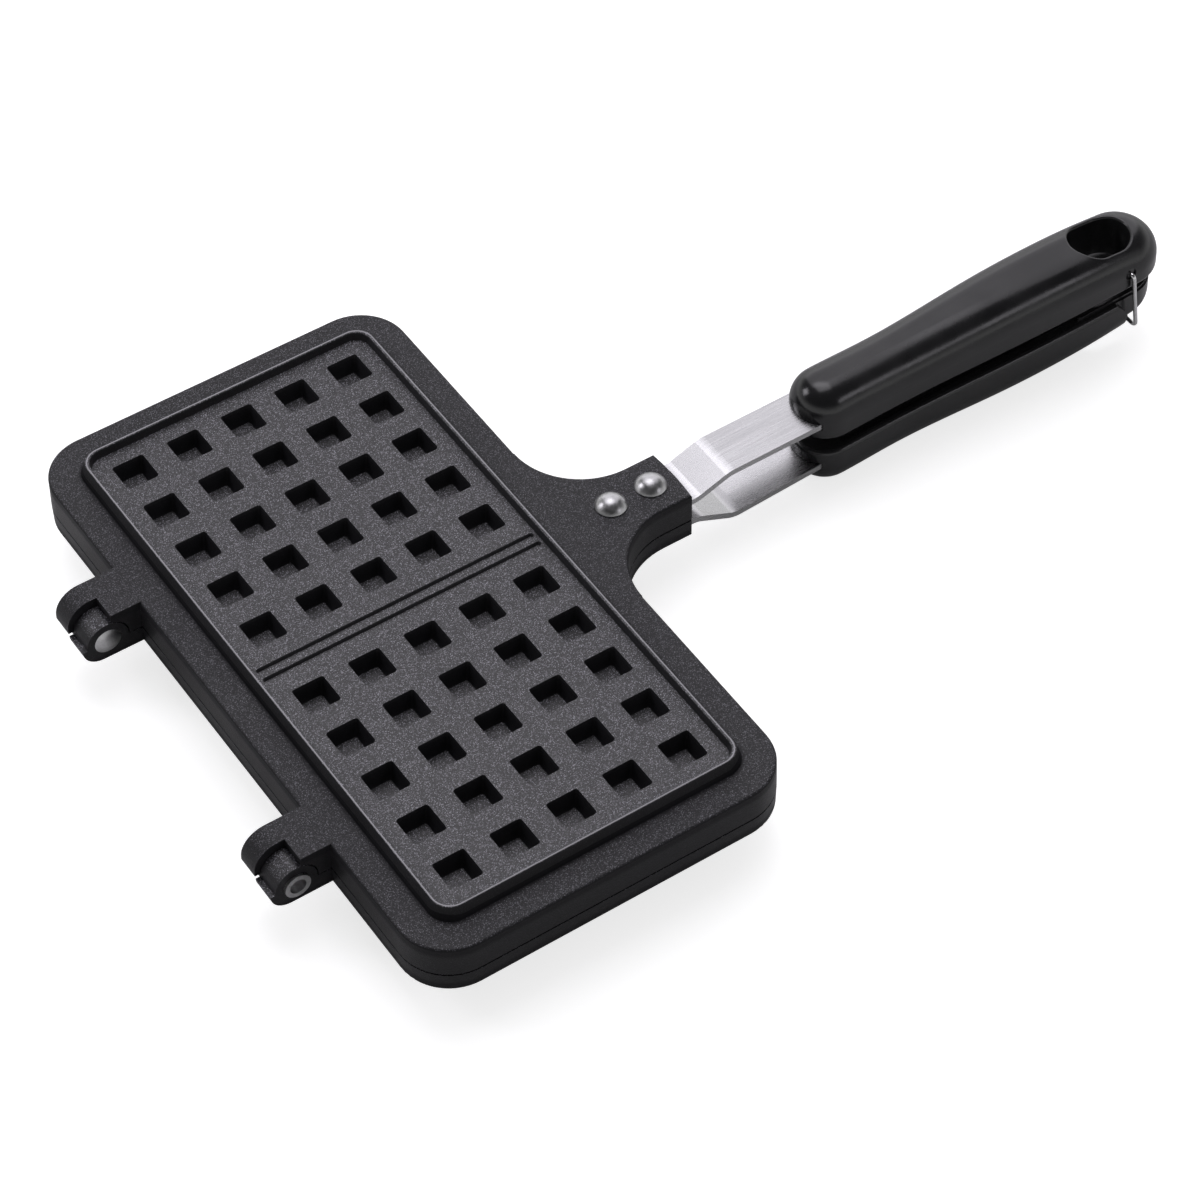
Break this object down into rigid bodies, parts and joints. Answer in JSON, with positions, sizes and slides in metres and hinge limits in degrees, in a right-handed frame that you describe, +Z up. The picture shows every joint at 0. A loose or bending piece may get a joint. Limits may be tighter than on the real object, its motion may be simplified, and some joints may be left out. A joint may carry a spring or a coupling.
{
  "type": "double waffle pan",
  "caption": "Hinged stovetop waffle pan: two cast grid plates on a pinned hinge, riveted steel tangs, moulded grips and a wire bail that holds it shut.",
  "frame": {"origin": "centre of the closed pan's box in X and Y, at its lowest point in Z", "axes": "+X towards the grips' ends, +Z up through the upper plate, Y along the hinge axis"},
  "size_m": [0.373, 0.236, 0.0441],
  "materials": {
    "cast_plate": "satin dark non-stick coating on cast aluminium",
    "tang_steel": "brushed",
    "rivet_metal": "satin",
    "pin_metal": "satin",
    "grip_plastic": "satin black moulded plastic",
    "screw_steel": "plain",
    "bail_wire": "bright drawn wire"
  },
  "bodies": {
    "lower_half": {"lower_plate": "cast_plate", "left_hinge_pin": "pin_metal", "right_hinge_pin": "pin_metal", "lower_tang": "tang_steel", "lower_front_rivet": "rivet_metal", "lower_back_rivet": "rivet_metal", "lower_grip": "grip_plastic", "lower_grip_screw": "screw_steel"},
    "upper_half": {"upper_plate": "cast_plate", "upper_tang": "tang_steel", "upper_front_rivet": "rivet_metal", "upper_back_rivet": "rivet_metal", "upper_grip": "grip_plastic", "upper_grip_screw": "screw_steel"},
    "latch": {"latch_bail": "bail_wire"}
  },
  "joints": [
    {"name": "plate_hinge", "type": "hinge", "parent": "lower_half", "child": "upper_half", "pos_m": [-0.17783, 0, 0.02064], "axis": [0, -1, 0], "range_deg": [0, 100]},
    {"name": "latch_swing", "type": "hinge", "parent": "upper_half", "child": "latch", "pos_m": [0.16875, 0, 0.03417], "axis": [0, -1, 0], "range_deg": [0, 225]}
  ]
}
